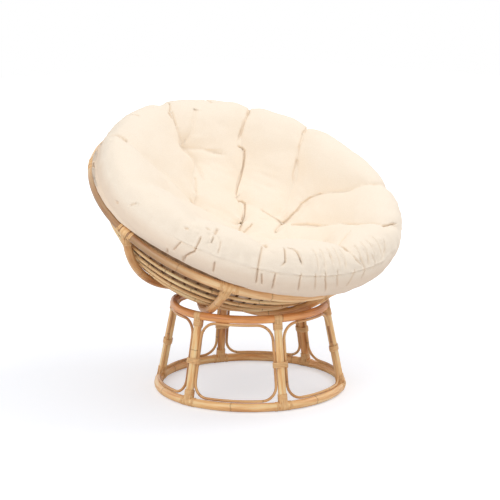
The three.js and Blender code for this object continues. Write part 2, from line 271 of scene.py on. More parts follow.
def peel(name, pale, dark):
    """Wound cane peel: glossy skin outside, with fine lines along each strip."""
    n = Nodes(name)
    grain_map = n.grain_map()
    fibre = n.noise(n.stretched(grain_map, (14, 900, 1)), 1.0, 3.0, 0.6)
    strip = n.noise(n.stretched(grain_map, (22, 130, 1)), 1.0, 2.0, 0.5)
    base = n.ramp(strip, [(0.34, dark), (0.62, pale)])
    fine = n.ramp(fibre, [(0.30, (0.78, 0.72, 0.66, 1)), (0.55, WHITE)])
    colour = n.mix(0.6, base, fine, "MULTIPLY")
    rough = n.math("MULTIPLY_ADD", fibre, 0.2, 0.34)
    return n.surface(Base_Color=colour, Roughness=rough, Normal=n.bump(fibre, 0.0004, 0.5))


def cotton(name, cream, shadow, crease, lining):
    """Matt woven cotton: thread weave, slight slubs, cloth that rucks a little."""
    n = Nodes(name)
    where = n.object_place()
    ruck = n.noise(where, 26.0, 4.0, 0.6)
    slub = n.noise(where, 420.0, 2.0, 0.7)
    turn = n.add("Mapping", Vector=where)
    turn.inputs["Rotation"].default_value = (math.radians(-BOWL_TILT), 0, 0)
    threads = []
    for way in "XY":
        settings = {"wave_type": "BANDS", "bands_direction": way}
        thread = n.add("TexWave", settings, Vector=turn.outputs[0], Scale=170.0, Distortion=0.8, Detail=2.0)
        threads.append(thread.outputs["Fac"])
    colour = n.mix(n.ramp(slub, [(0.36, BLACK), (0.66, WHITE)]), shadow, cream)
    # painted shade: a crease's depth is painted darker than the cloth beside it
    depth = n.math("POWER", n.attribute("fold_shade"), 1.5)
    colour = n.mix(n.math("MULTIPLY", depth, 0.36), colour, crease)
    # the band below the seam gets less light
    below = n.graded(n.attribute("plan_station"), SEAM_STATION - 0.02, SEAM_STATION + 0.10, 0.0, 0.30)
    colour = n.mix(below, colour, shade(crease, 1.55))
    # painted shade on the underside, with a patch of painted light at the front
    colour = n.mix(n.attribute("underside_shade"), colour, n.mix(slub, shade(lining, 0.8), lining))
    relief = n.bump(n.math("MULTIPLY", *threads), 0.0004, 0.5)
    relief = n.bump(slub, 0.0004, 0.4, relief)
    relief = n.bump(ruck, 0.004, 0.35, relief)
    return n.surface(Base_Color=colour, Roughness=0.92, Specular_IOR_Level=0.25, Sheen_Weight=0.12,
                     Sheen_Roughness=0.5, Normal=relief)


def tones(*colours):
    return [tone(*colour) for colour in colours]


pole_lacquer = rattan("pole_lacquer", *tones((255, 236, 188), (255, 214, 152), (230, 166, 102)))
# painted shade: a darker copy of the upright lacquer, for the uprights in the bowl's shadow at the back
shaded_back_lacquer = rattan("shaded_back_lacquer", *tones((240, 190, 130), (226, 164, 102), (182, 118, 66)))
rim_tones = tones((255, 226, 178), (252, 208, 154), (228, 172, 116))
# the rim gets painted shade on its side away from the window
rim_lacquer = rattan("rim_lacquer", *rim_tones, 0.33, shaded_side=True)
ring_lacquer = rattan("ring_lacquer", *tones((255, 226, 172), (255, 206, 144), (228, 164, 104)), 0.31)
head_lacquer = rattan("head_lacquer", *tones((252, 186, 118), (240, 164, 96), (206, 132, 74)), 0.31)
rib_lacquer = rattan("rib_lacquer", *tones((248, 202, 144), (236, 180, 118), (202, 138, 84)), 0.27)
cane_lacquer = rattan("cane_lacquer", *tones((255, 234, 186), (255, 214, 156), (218, 162, 104)), 0.17)
loop_lacquer = rattan("loop_lacquer", *tones((240, 198, 138), (222, 168, 108), (178, 122, 72)), 0.23)
# painted shade: the splints are real canes, painted dark brown for the shade they lie in between the hoops
# and the cushion
shaded_splint_lacquer = rattan("shaded_splint_lacquer", *tones((140, 94, 56), (112, 72, 40), (82, 50, 26)), 0.12, 0.5)
peel_skin = peel("peel_skin", *tones((248, 206, 150), (232, 182, 124)))
# the third tone is the painted shade of the creases and of the band below the seam, the fourth the painted
# shade of the underside
cotton_tones = tones((253, 240, 223), (248, 233, 213), (176, 146, 118), (166, 128, 92))
cushion_cotton = cotton("cushion_cotton", *cotton_tones)


# Making a piece

def grain_layer(bm):
    return bm.loops.layers.uv.get("grain") or bm.loops.layers.uv.new("grain")


def lay_grain(bm, where, period, shift=0.0):
    """Lays the grain map: where gives a point's way along and round the pole, in metres."""
    layer = grain_layer(bm)
    for face in bm.faces:
        first = where(face.loops[0].vert.co)
        for loop in face.loops:
            spot = list(where(loop.vert.co))
            for i in (0, 1):
                if period[i]:
                    spot[i] -= period[i] * round((spot[i] - first[i]) / period[i])
            loop[layer].uv = (spot[0] + shift, spot[1])


def finish_piece(bm, name, material, slot, body, place, nodes=()):
    """Makes the object, in its place, riding on its body and standing for its CAD nodes."""
    bmesh.ops.remove_doubles(bm, verts=bm.verts[:], dist=1e-6)
    bmesh.ops.recalc_face_normals(bm, faces=bm.faces[:])
    bmesh.ops.transform(bm, matrix=place, verts=bm.verts[:])
    for face in bm.faces:
        face.smooth = True
    piece = new_object(name, new_mesh(name, bm))
    piece.data.materials.append(material)
    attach(piece, body)
    if nodes:
        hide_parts(*nodes)
    return piece


def finish_binding(bm, kind, k, body, place):
    """Finishes the wound peel over one joint, for the CAD's plain sleeve."""
    finish_piece(bm, f"{kind}_binding_{k + 1}", peel_skin, "cane_peel", body, place, [f"{kind}_wrap_{k + 1}"])


def close_ends(bm, soften=0.0):
    ends = [e for e in bm.edges if e.is_boundary]
    bmesh.ops.holes_fill(bm, edges=ends, sides=0)
    if soften:
        bmesh.ops.bevel(bm, geom=ends, offset=soften, segments=2, profile=0.5, affect="EDGES", material=-1)


def sweep(bm, stops, sides, closed=False):
    """Runs a round section along a path. Each stop's matrix holds the place and the section's size."""
    ring = bmesh.ops.create_circle(bm, segments=sides, radius=1.0, matrix=stops[0])["verts"]
    first = edges = list(dict.fromkeys(e for v in ring for e in v.link_edges))
    for before, after in zip(stops, stops[1:]):
        made = bmesh.ops.extrude_edge_only(bm, edges=edges)["geom"]
        verts = {g for g in made if isinstance(g, bmesh.types.BMVert)}
        edges = [g for g in made if isinstance(g, bmesh.types.BMEdge) and set(g.verts) <= verts]
        bmesh.ops.transform(bm, matrix=after @ before.inverted(), verts=list(verts))
    if closed:
        bmesh.ops.bridge_loops(bm, edges=first + edges)
    else:
        close_ends(bm)


def stop(at, ahead, side, half_width, half_depth):
    """A section's place: side is the way its width points, ahead the way of the path."""
    ahead = ahead.normalized()
    deep = ahead.cross(side).normalized()
    side = deep.cross(ahead)
    return axes_at(at, side * half_width, deep * half_depth, ahead)


# Base

FOOT_POINT = outward(0, FOOT_RING, FOOT_Z)
HEAD_POINT = outward(0, HEAD_RING, HEAD_Z)
LEAN = (HEAD_POINT - FOOT_POINT).normalized()
UPRIGHT_LENGTH = (HEAD_POINT - FOOT_POINT).length
SIDEWAYS = Vector((1, 0, 0))
OUT_OF_UPRIGHT = LEAN.cross(-SIDEWAYS).normalized()


def cone_radius(z):
    return FOOT_RING + (HEAD_RING - FOOT_RING) * (z - FOOT_Z) / RING_RISE


def at_upright(k):
    """Place of the base's azimuth 0 when it is carried to upright k; a half is between two."""
    return on_base @ turned(FIRST_UPRIGHT + k * 360 / BAYS)


def up_the_upright(distance):
    """Place on the upright at azimuth 0, that far above the bottom ring's middle line."""
    return axes_at(FOOT_POINT + LEAN * distance, SIDEWAYS, LEAN.cross(SIDEWAYS), LEAN)


def ring_pole(name, node, radius, tube, height, looks, body, steps=144, sides=16, shift=0.0):
    """A pole bent to a full ring, level on the base or in the bowl; looks is its lacquer and a slot, and the
    slot is not used.
    """
    bm = bmesh.new()
    start = Matrix.Translation((0, -radius, 0)) @ Matrix.Rotation(math.pi / 2, 4, "Y")
    bmesh.ops.create_circle(bm, segments=sides, radius=tube, matrix=start)
    bmesh.ops.spin(bm, geom=bm.edges[:], cent=(0, 0, 0), axis=(0, 0, 1), angle=math.tau, steps=steps,
                   use_merge=True)

    def where(co):
        flat = math.hypot(co.x, co.y)
        return math.atan2(co.x, -co.y) * radius, math.atan2(co.z, flat - radius) * tube

    lay_grain(bm, where, (math.tau * radius, math.tau * tube), shift)
    place = (on_base if body == "base" else in_bowl) @ Matrix.Translation((0, 0, height))
    finish_piece(bm, name, *looks, body, place, [node])


def upright_pole(k):
    bm = bmesh.new()
    stops = []
    for t in range(15):
        # each upright is a touch thicker at its foot
        size = UPRIGHT_TUBE * (1.02 - 0.04 * t / 14)
        rise = Matrix.Translation((0, 0, UPRIGHT_LENGTH * t / 14))
        stops.append(rise @ Matrix.Diagonal((size, size, 1, 1)))
    sweep(bm, stops, 18)
    turn = math.tau * UPRIGHT_TUBE
    lay_grain(bm, lambda co: (co.z, math.atan2(co.y, co.x) * UPRIGHT_TUBE), (0, turn), 0.137 * k)
    # painted shade: uprights turned away from the camera take the darker copy of the lacquer
    from_camera = math.radians(FIRST_UPRIGHT + k * 360 / BAYS + VIEW_ROUND)
    lacquer = pole_lacquer if math.cos(from_camera) > -0.2 else shaded_back_lacquer
    place = at_upright(k) @ up_the_upright(0)
    finish_piece(bm, f"upright_pole_{k + 1}", lacquer, "pole", "base", place, [f"upright_{k + 1}"])


def bay_path():
    """The bent cane's line, once round the bay at azimuth 0, as points on the base's cone."""
    low = FOOT_Z + FOOT_TUBE + LOOP_TUBE + GAP
    high = HEAD_Z - HEAD_TUBE - LOOP_TUBE - GAP
    beside = UPRIGHT_TUBE + LOOP_TUBE + 0.0012

    def spot(sx, sz, turn):
        """Place on a corner: how far along the cone, and how high."""
        rise = LOOP_CORNER * (1 - abs(math.sin(turn)))
        z = high - rise if sz > 0 else low + rise
        half_bay = cone_radius(z) * math.radians(180 / BAYS)
        return sx * (half_bay - beside - LOOP_CORNER * (1 - abs(math.cos(turn)))), z

    corners = []
    for quarter, (sx, sz) in enumerate(((1, 1), (-1, 1), (-1, -1), (1, -1))):
        corners.append([spot(sx, sz, math.radians(quarter * 90 + i * 90 / 8)) for i in range(9)])
    points = []
    for corner, following in zip(corners, corners[1:] + corners[:1]):
        points += corner
        for t in (0.17, 0.33, 0.5, 0.67, 0.83):
            points.append(tuple(a + (b - a) * t for a, b in zip(corner[-1], following[0])))
    return [outward(math.degrees(along / cone_radius(z)), cone_radius(z), z) for along, z in points]


def bay_loop(k):
    bm = bmesh.new()
    path = bay_path()
    stops = []
    count = len(path)
    for i, at in enumerate(path):
        ahead = path[(i + 1) % count] - path[i - 1]
        side = Vector((at.x, at.y, 0)).normalized()
        stops.append(stop(at, ahead, side, LOOP_TUBE, LOOP_TUBE))
    sweep(bm, stops, 10, closed=True)
    lengths = np.cumsum([0] + [(path[i] - path[i - 1]).length for i in range(1, count)])
    whole = float(lengths[-1] + (path[0] - path[-1]).length)
    line = np.array(path)
    back = [m.inverted() for m in stops]

    def where(co):
        i = int(((line - np.array(co)) ** 2).sum(1).argmin())
        local = back[i] @ co
        return float(lengths[i]), math.atan2(local.y, local.x) * LOOP_TUBE

    lay_grain(bm, where, (whole, math.tau * LOOP_TUBE), 0.31 * k)
    name, node = f"bent_cane_{k + 1}", f"bay_loop_{k + 1}"
    finish_piece(bm, name, loop_lacquer, "thin_cane", "base", at_upright(k + 0.5), [node])


# a strip of peel across: its share of the width, and its share of the thickness
STRIP_SECTION = ((0.02, 0.0), (0.10, 0.75), (0.30, 1.0), (0.70, 1.0), (0.90, 0.75), (0.98, 0.0))
PEEL_THICK, STRAP_WIDTH, STRAPS = 0.0013, 0.0056, 5


def winding(bm, radius, span, turns, place, wide=1.0):
    """Cane peel wound in touching turns round Z; wide stretches the coil along X."""
    strip = span / turns
    before = set(bm.verts)
    verts = [bm.verts.new((radius + PEEL_THICK * t, 0, strip * s - span / 2)) for s, t in STRIP_SECTION]
    edges = [bm.edges.new((a, b)) for a, b in zip(verts, verts[1:] + verts[:1])]
    steps = int(14 * (turns - 1))
    bmesh.ops.spin(bm, geom=verts + edges, cent=(0, 0, 0), axis=(0, 0, 1), angle=math.tau * (turns - 1),
                   steps=steps, dvec=(0, 0, (span - strip) / steps))
    close_ends(bm)
    fresh = set(bm.verts) - before
    layer = grain_layer(bm)
    turn = math.tau * radius
    for face in bm.faces:
        if not set(face.verts) <= fresh:
            continue
        start = face.loops[0].vert.co
        first = math.atan2(start.y, start.x) * radius
        for loop in face.loops:
            co = loop.vert.co
            u = math.atan2(co.y, co.x) * radius
            u -= turn * round((u - first) / turn)
            loop[layer].uv = (u + co.z * 7.3, co.z + math.hypot(co.x, co.y) - radius)
    bmesh.ops.transform(bm, matrix=place @ Matrix.Diagonal((wide, 1, 1, 1)), verts=list(fresh))


def strap(bm, path, width=STRAP_WIDTH):
    """One strip of cane peel laid along a path, its width sideways."""
    stops = []
    for i, at in enumerate(path):
        ahead = path[min(i + 1, len(path) - 1)] - path[max(i - 1, 0)]
        stops.append(stop(at, ahead, SIDEWAYS, width / 2, PEEL_THICK / 2))
    before = set(bm.faces)
    sweep(bm, stops, 8)
    layer = grain_layer(bm)
    for face in bm.faces:
        if face not in before:
            for loop in face.loops:
                co = loop.vert.co
                loop[layer].uv = (co.z + co.y, co.x)


def strap_rows(width, half):
    """Each strap's shift sideways, and what is left there of a round pole's height."""
    for i in range(STRAPS):
        off = width * (i - STRAPS // 2)
        yield SIDEWAYS * off, math.sqrt(max(0.0, 1 - (off / half) ** 2))


def foot_joint(k):
    """Peel over the joint of an upright and the bottom ring: straps under the ring, then a winding."""
    bm = bmesh.new()
    arm, start, reach = 0.036, 0.004, FOOT_TUBE + 0.0006
    for shift, bow in strap_rows(STRAP_WIDTH, 0.0155):
        at = FOOT_POINT + shift
        off = OUT_OF_UPRIGHT * (UPRIGHT_TUBE * bow + 0.0008)
        path = [at + LEAN * (arm * (1 - t / 4) + start) + off for t in range(4)]
        for t in range(9):
            turn = math.pi * t / 8
            path.append(at + OUT_OF_UPRIGHT * (math.cos(turn) * reach) - LEAN * (math.sin(turn) * reach))
        path += [at + LEAN * (start + arm * (t + 1) / 4) - off for t in range(4)]
        strap(bm, path)
    winding(bm, UPRIGHT_TUBE + 0.0012, 0.026, 5, up_the_upright(FOOT_TUBE + 0.015))
    for sign in (-1, 1):
        winding(bm, FOOT_TUBE + 0.0002, 0.0165, 3, on_ring(FOOT_RING, FOOT_Z, sign * 4.0))
    finish_binding(bm, "foot", k, "base", at_upright(k))


def on_ring(radius, z, azimuth):
    """Place on a ring pole's middle line, with Z along the ring."""
    ahead = Vector((math.cos(math.radians(azimuth)), math.sin(math.radians(azimuth)), 0))
    out = outward(azimuth, 1.0)
    return axes_at(outward(azimuth, radius, z), out, ahead.cross(out), ahead)


def head_joint(k):
    """Peel at the top ring: straps over the ring's outer and inner faces, clear of the bowl above."""
    bm = bmesh.new()
    reach = HEAD_TUBE + 0.0005
    for shift, bow in strap_rows(STRAP_WIDTH, 0.0155):
        at = HEAD_POINT + shift
        for face, top in ((1, 62), (-1, 24)):
            out = OUT_OF_UPRIGHT * face
            path = []
            for t in range(7):
                turn = math.radians(top - (top + 20) * t / 6)
                path.append(at + out * (math.cos(turn) * reach) + LEAN * (math.sin(turn) * reach))
            off = UPRIGHT_TUBE * bow + 0.0007
            path += [at - LEAN * (0.012 + 0.008 * t) + out * off for t in range(4)]
            strap(bm, path)
    winding(bm, UPRIGHT_TUBE + 0.0012, 0.026, 5, up_the_upright(UPRIGHT_LENGTH - HEAD_TUBE - 0.015))
    finish_binding(bm, "head", k, "base", at_upright(k))


def middle_joint(k):
    """Peel that ties the two bent canes to their upright, half way up."""
    bm = bmesh.new()
    radius = UPRIGHT_TUBE + 0.0014
    wide = (UPRIGHT_TUBE + 2 * LOOP_TUBE + 0.0022) / radius
    winding(bm, radius, 0.024, 5, up_the_upright(UPRIGHT_LENGTH * 0.47), wide)
    finish_binding(bm, "middle", k, "base", at_upright(k))


def make_base():
    foot_looks, head_looks = (ring_lacquer, "pole"), (head_lacquer, "pole")
    ring_pole("bottom_ring_pole", "base_bottom_ring", FOOT_RING, FOOT_TUBE, FOOT_Z, foot_looks, "base")
    ring_pole("top_ring_pole", "base_top_ring", HEAD_RING, HEAD_TUBE, HEAD_Z, head_looks, "base", shift=0.4)
    for k in range(BAYS):
        upright_pole(k)
        bay_loop(k)
        foot_joint(k)
        middle_joint(k)
        head_joint(k)


# Bowl

def arc_pole(bm, radius, tube, from_polar, to_polar, steps, sides):
    """A pole bent on a sphere, at azimuth 0, from one polar angle to another."""
    p = math.radians(from_polar)
    at = Vector((0, -radius * math.sin(p), -radius * math.cos(p)))
    ahead = Vector((0, -math.cos(p), math.sin(p)))
    bmesh.ops.create_circle(bm, segments=sides, radius=1.0, matrix=stop(at, ahead, SIDEWAYS, tube, tube))
    turn = -math.radians(to_polar - from_polar)
    bmesh.ops.spin(bm, geom=bm.edges[:], cent=(0, 0, 0), axis=(1, 0, 0), angle=turn, steps=steps)
    close_ends(bm, tube * 0.18)

    def where(co):
        polar = math.atan2(-co.y, -co.z)
        return polar * radius, math.atan2(co.x, math.hypot(co.y, co.z) - radius) * tube

    lay_grain(bm, where, (0, math.tau * tube))


# where a rib ends against the rim, as a polar angle
RIB_END = RIM_POLAR - math.degrees((RIM_TUBE + 0.0006) / BOWL_R)


def at_rib(k):
    return in_bowl @ turned(FIRST_RIB + k * 360 / RIBS)


def rib_pole(k):
    bm = bmesh.new()
    arc_pole(bm, BOWL_R, RIB_TUBE, 4.6, RIB_END, 44, 16)
    layer = grain_layer(bm)
    for face in bm.faces:
        for loop in face.loops:
            loop[layer].uv.x += 0.173 * k
    finish_piece(bm, f"rib_pole_{k + 1}", rib_lacquer, "pole", "bowl", at_rib(k), [f"rib_{k + 1}"])


def on_arc(polar, radius=BOWL_R):
    """Place on a rib at azimuth 0, with Z along the rib and Y towards the bowl's inside."""
    p = math.radians(polar)
    ahead = Vector((0, -math.cos(p), math.sin(p)))
    inside = Vector((0, math.sin(p), math.cos(p)))
    return axes_at(inside * -radius, inside.cross(ahead), inside, ahead)


def rib_joint(k):
    """Peel over the joint of a rib and the rim: straps over the rim, and windings on rib and rim."""
    bm = bmesh.new()
    p = math.radians(RIM_POLAR)
    ahead = Vector((0, -math.cos(p), math.sin(p)))
    out = Vector((0, -math.sin(p), -math.cos(p)))
    width, reach = 0.006, RIM_TUBE + 0.0007
    for shift, bow in strap_rows(width, 0.0165):
        at = Vector((0, -RIM_RING, -RIM_DROP)) + shift
        off = RIB_TUBE * bow + 0.0009
        path = [at - ahead * (0.050 - 0.010 * t) + out * (off - 0.0012 + 0.0004 * t) for t in range(4)]
        for t in range(11):
            turn = math.radians(-14 + 208 * t / 10)
            path.append(at + out * (math.cos(turn) * reach) + ahead * (math.sin(turn) * reach))
        path += [at - ahead * (0.020 + 0.010 * t) - out * (off - 0.0002 * t) for t in range(4)]
        strap(bm, path, width)
    span = 0.040
    middle = RIB_END - 0.3 - math.degrees(span / 2 / BOWL_R)
    winding(bm, RIB_TUBE + 0.0014, span, 7, on_arc(middle))
    for sign in (-1, 1):
        winding(bm, RIM_TUBE + 0.0002, 0.0175, 3, on_ring(RIM_RING, -RIM_DROP, sign * 2.95))
    finish_binding(bm, "rib", k, "bowl", at_rib(k))


def hoop_cane(k):
    polar = math.radians(HOOP_FIRST - k * HOOP_STEP)
    radius, height = HOOP_R * math.sin(polar), -HOOP_R * math.cos(polar)
    ring_pole(f"hoop_cane_{k + 1}", f"hoop_{k + 1}", radius, HOOP_TUBE, height, (cane_lacquer, "thin_cane"),
              "bowl", steps=120 - 8 * k, sides=10, shift=0.21 * k)


def bowl_splints():
    """Thin flat splints that run up the bowl's inside, across the hoops."""
    bm = bmesh.new()
    arc_pole(bm, HOOP_R - HOOP_TUBE - SPLINT_TUBE, SPLINT_TUBE, 9, 65.2, 22, 6)
    bmesh.ops.scale(bm, vec=(SPLINT_HALF_WIDTH / SPLINT_TUBE, 1, 1), verts=bm.verts[:])
    first = Matrix.Rotation(math.radians(360 / SPLINTS / 2), 3, "Z")
    bmesh.ops.rotate(bm, cent=(0, 0, 0), matrix=first, verts=bm.verts[:])
    bmesh.ops.spin(bm, geom=bm.verts[:] + bm.edges[:] + bm.faces[:], cent=(0, 0, 0), axis=(0, 0, 1),
                   angle=math.tau * (SPLINTS - 1) / SPLINTS, steps=SPLINTS - 1, use_duplicate=True)
    finish_piece(bm, "bowl_splints", shaded_splint_lacquer, "thin_cane", "bowl", in_bowl)


def make_bowl():
    rim_looks = (rim_lacquer, "pole")
    ring_pole("rim_pole", "rim", RIM_RING, RIM_TUBE, -RIM_DROP, rim_looks, "bowl", steps=180, shift=0.2)
    for k in range(RIBS):
        rib_pole(k)
        rib_joint(k)
    for k in range(HOOPS):
        hoop_cane(k)
    bowl_splints()


# Cushion, shaped in the bowl's own frame. Heights are above the rim's plane.

LINING_R = 0.5195
LIP_RING, LIP_SHIFT = 0.480, (0.038, 0.027)
LIP_HALF_WIDTH, LIP_HALF_HEIGHT = 0.078, 0.090
LIP_HEIGHT, LIP_SLOPE = 0.091, (0.031, 0.023)
# where the lip would end short of the rim, it is filled out to lie on it
LIP_FOOT, FOOT_BLEND, FOOT_OVER_RIM = 0.518, 0.030, 0.018
DISH_MIDDLE, DISH_BOTTOM = (0.045, 0.048), -0.036
FOLD_SHARE, FOLD_HEIGHT, FOLD_SLOPE, PUFF = 0.79, 0.076, (0.032, -0.027), 0.034
OVER_RIM = 0.023
JOIN_FROM, JOIN_TO = 0.58, 1.24
# the folds that part the lobes: depth, station where each begins, station where its sewing
# ends, and its azimuths at FOLD_STATIONS
FOLD_STATIONS = (0.14, 0.44, 0.75, 1.05, 1.3, 1.6)
MAIN_FOLDS = (
    (0.024, -0.20, 1.58, (-120, -131, -133, -131, -135, -138)),
    (0.016, 0.35, 1.58, (-90, -118, -104, -97, -96, -95)),
    (0.016, 0.35, 1.58, (-55, -58, -61, -65, -62, -60)),
    (0.024, 0.02, 1.58, (-42, -38, -35, -33, -33, -34.6)),
    (0.022, 0.24, 1.58, (-10, 14, 20, 5, 2.3, 6)),
    (0.022, 0.33, 1.58, (40, 60, 47, 34, 32, 40)),
    (0.022, 0.33, 0.92, (73, 73, 80, 67, 64.3, 65)),
    (0.023, 0.33, 1.58, (90, 82, 96.5, 108, 111, 111.5)),
    (0.026, -0.20, 1.58, (128, 141, 135.3, 140.3, 138.6, 138)),
    (0.023, 0.36, 1.58, (195, 209, 177, 182, 182, 181.5)),
)
FOLD_WIDE, FOLD_CLOSE = 0.040, 0.015
TUFTS = ((0.016, -129, 0.43), (0.018, 72.6, 0.442), (0.015, -42, 0.134), (0.014, -178.2, 0.90))
TUFT_WIDTH = 0.036


def lean_by(pair, a):
    return pair[0] * np.cos(a) + pair[1] * np.sin(a)


def dish_form(a, share):
    """The dish: share 0 in its middle, 1 at the outer folds."""
    reach = (LIP_RING + lean_by(LIP_SHIFT, a)) * FOLD_SHARE
    fold = FOLD_HEIGHT + lean_by(FOLD_SLOPE, a)
    x = DISH_MIDDLE[1] * (1 - share) + reach * np.sin(a) * share
    y = -DISH_MIDDLE[0] * (1 - share) - reach * np.cos(a) * share
    z = DISH_BOTTOM + (fold - DISH_BOTTOM) * share ** 2 + PUFF * share
    return np.stack([x, y, z], -1)


def easy(t):
    """0 below 0, 1 above 1, and a soft curve between."""
    t = np.clip(t, 0, 1)
    return t * t * (3 - 2 * t)


def lip_form(a, way):
    """The lip: way 0 faces the dish, 1 is under it, by the rim."""
    section = np.radians(158 - 218 * way)
    height = LIP_HEIGHT + lean_by(LIP_SLOPE, a)
    high = np.where(section > 0, LIP_HALF_HEIGHT, height - OVER_RIM)
    ring = LIP_RING + lean_by(LIP_SHIFT, a)
    r = ring + LIP_HALF_WIDTH * np.cos(section)
    z = height + high * np.sin(section)
    down = np.maximum(0, -section) * 1.5
    widest = ring + LIP_HALF_WIDTH
    full = easy((LIP_FOOT - ring - LIP_HALF_WIDTH / 2) / FOOT_BLEND) * (section < 0)
    r += full * (widest + (LIP_FOOT - widest) * (1 - np.cos(down)) ** 1.4 - r)
    z += full * (height - (height - FOOT_OVER_RIM) * np.sin(down) - z)
    return np.stack([r * np.sin(a), -r * np.cos(a), z], -1)


def cushion_point(azimuth, station):
    """Points of the cushion's full form.

    Station 0 is the dish's middle, 1 the ring of folds, 2 the lip's underside
    by the rim, and 3 the lining's middle below.
    """
    a = np.radians(np.asarray(azimuth, float))
    s = np.asarray(station, float) + 0 * a
    a = a + 0 * s
    dish = dish_form(a, np.clip(s, 0, 1))
    lip = lip_form(a, np.clip(s - 1, 0, 1))
    # the dish runs into the lip in one easy curve
    start, end = dish_form(a, JOIN_FROM), lip_form(a, JOIN_TO - 1)
    out = dish_form(a, JOIN_FROM + 0.01) - start
    on = lip_form(a, JOIN_TO - 0.99) - end
    span = np.linalg.norm(end - start, axis=-1, keepdims=True)
    out = out / np.linalg.norm(out, axis=-1, keepdims=True) * span
    on = on / np.linalg.norm(on, axis=-1, keepdims=True) * span
    t = np.clip((s - JOIN_FROM) / (JOIN_TO - JOIN_FROM), 0, 1)[..., None]
    curve = (1 + 2 * t) * (1 - t) ** 2 * start + t * (1 - t) ** 2 * out
    curve += t * t * (3 - 2 * t) * end - t * t * (1 - t) * on
    # over the rim, then the lining that lies in the bowl
    under = np.clip(s - 2, 0, 1)
    edge = np.linalg.norm(lip[..., :2], axis=-1)
    begin = math.sqrt(LINING_R ** 2 - (RIM_DROP - OVER_RIM) ** 2)
    polar = math.asin(begin / LINING_R) * (1 - (under - 0.05) / 0.95)
    r = np.where(under < 0.05, edge + (begin - edge) * under / 0.05, LINING_R * np.sin(polar))
    over = lip[..., 2] + (OVER_RIM - lip[..., 2]) * under / 0.05
    z = np.where(under < 0.05, over, RIM_DROP - LINING_R * np.cos(polar))
    lining = np.stack([r * np.sin(a), -r * np.cos(a), z], -1)
    s = s[..., None]
    point = np.where(s < JOIN_FROM, dish, np.where(s < JOIN_TO, curve, np.where(s <= 2, lip, lining)))
    point[..., 2] -= RIM_DROP
    return point


def fold_azimuth(azimuths, station):
    """The azimuth of a fold where it crosses a station."""
    knots = np.array(FOLD_STATIONS)
    s = np.clip(station, knots[0], knots[-1])
    i = np.clip(np.searchsorted(knots, s, side="right") - 1, 0, len(knots) - 2)
    t = easy((s - knots[i]) / (knots[i + 1] - knots[i]))
    az = np.array(azimuths, float)
    return az[i] + (az[i + 1] - az[i]) * t


def turn_from(azimuth, at):
    """Degrees from one azimuth to another the short way, -180 to 180."""
    return (azimuth - at + 180) % 360 - 180


def off_fold(form, azimuth, station, azimuths):
    """How far each point is from a fold, in metres round the cushion."""
    turn = turn_from(azimuth, fold_azimuth(azimuths, station))
    return np.abs(np.radians(turn)) * np.hypot(form[..., 0], form[..., 1])


def main_folds(azimuth, station):
    """How far the main folds and the tufts draw the cushion in, in metres."""
    form = cushion_point(azimuth, station)
    drawn = np.zeros(np.shape(station))
    outside = (1 - 0.5 * easy((station - 1.3) / 0.2)) * (1 - easy((station - 1.48) / 0.2))
    for depth, start, _, azimuths in MAIN_FOLDS:
        off = off_fold(form, azimuth, station, azimuths)
        across = 0.6 * np.exp(-(off / FOLD_WIDE) ** 2) + 0.4 * np.exp(-off / FOLD_CLOSE)
        drawn = np.maximum(drawn, depth * across * outside * easy((station - start) / 0.16))
    for depth, at, tuft_station in TUFTS:
        tuft = cushion_point(at, tuft_station)
        away = np.linalg.norm(form - tuft, axis=-1)
        drawn = drawn + depth * np.exp(-(away / TUFT_WIDTH) ** 2)
    return drawn


# Creases and lesser folds: depth and half-width in mm, then (azimuth, station) along each
BROAD_FOLDS = [
    (8, 20, [(167.3, 1.215), (173.5, 0.986), (-178.2, 0.899)]),
    (9, 22, [(-178.2, 0.899), (167.8, 0.836), (153.1, 0.787)]),
    (9, 24, [(-178.2, 0.899), (175.9, 0.768), (177.5, 0.671), (-176.4, 0.548)]),
    (9, 24, [(72.6, 0.442), (25.5, 0.343)]),
    (9, 24, [(141.3, 0.41), (122.7, 0.322), (98.6, 0.315), (72.6, 0.442)]),
    (8, 22, [(19.2, 0.807), (3.4, 1.13), (19.4, 1.081)]),
    (8, 28, [(-42.2, 0.134), (58.4, 0.188), (72.6, 0.442)]),
    (7, 26, [(-52, 1.12), (-52.2, 1.30), (-52.1, 1.52)]),
    (6, 24, [(-22.5, 1.20), (-22.5, 1.50)]),
    (6, 26, [(-83, 1.30), (-82, 1.55)]),
    (6, 28, [(158, 1.30), (158, 1.5)]),
]
